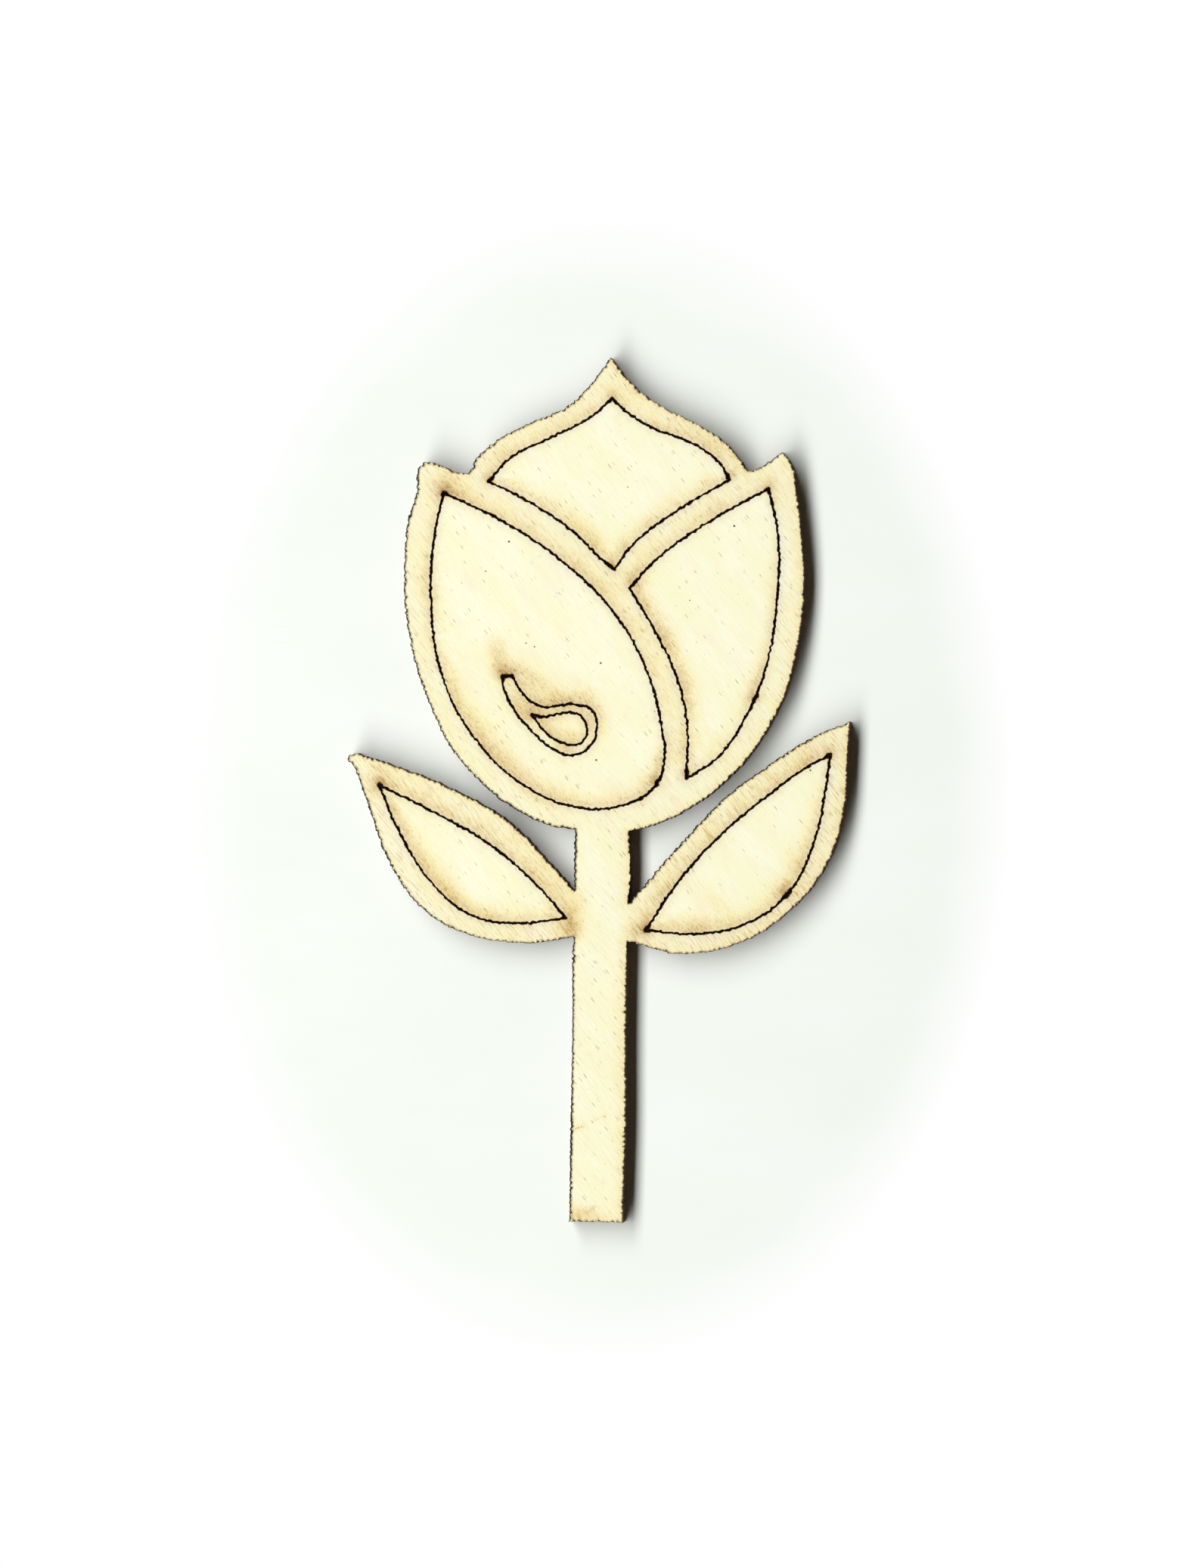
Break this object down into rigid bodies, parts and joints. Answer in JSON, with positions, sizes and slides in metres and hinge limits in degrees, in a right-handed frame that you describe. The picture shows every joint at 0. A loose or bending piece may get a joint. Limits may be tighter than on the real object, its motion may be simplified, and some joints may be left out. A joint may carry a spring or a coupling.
{
  "type": "wooden tulip cutout",
  "caption": "Flat plywood tulip on a straight stem with leaves either side, laser cut, with petal, leaf and seed lines scored into the face; a blank to paint, hang or glue on.",
  "frame": {"origin": "on the back face, below the middle of the cutout's bounding box", "axes": "+X to the right as the scored face is looked at, +Y up the stem to the tip of the flower, +Z out of the scored face"},
  "size_m": [0.059, 0.1016, 0.0032],
  "materials": {
    "face_birch": "sanded pale birch, unfinished, with tan laser smoke beside its scored lines",
    "core_birch": "birch cross ply, charred brown where the laser cut it",
    "back_birch": "sanded pale birch, unfinished",
    "glue": "set plywood glue, dark at the cut edge"
  },
  "bodies": {
    "root": {"face_veneer": "face_birch", "front_glue_line": "glue", "core_veneer": "core_birch", "rear_glue_line": "glue", "back_veneer": "back_birch"}
  },
  "joints": []
}
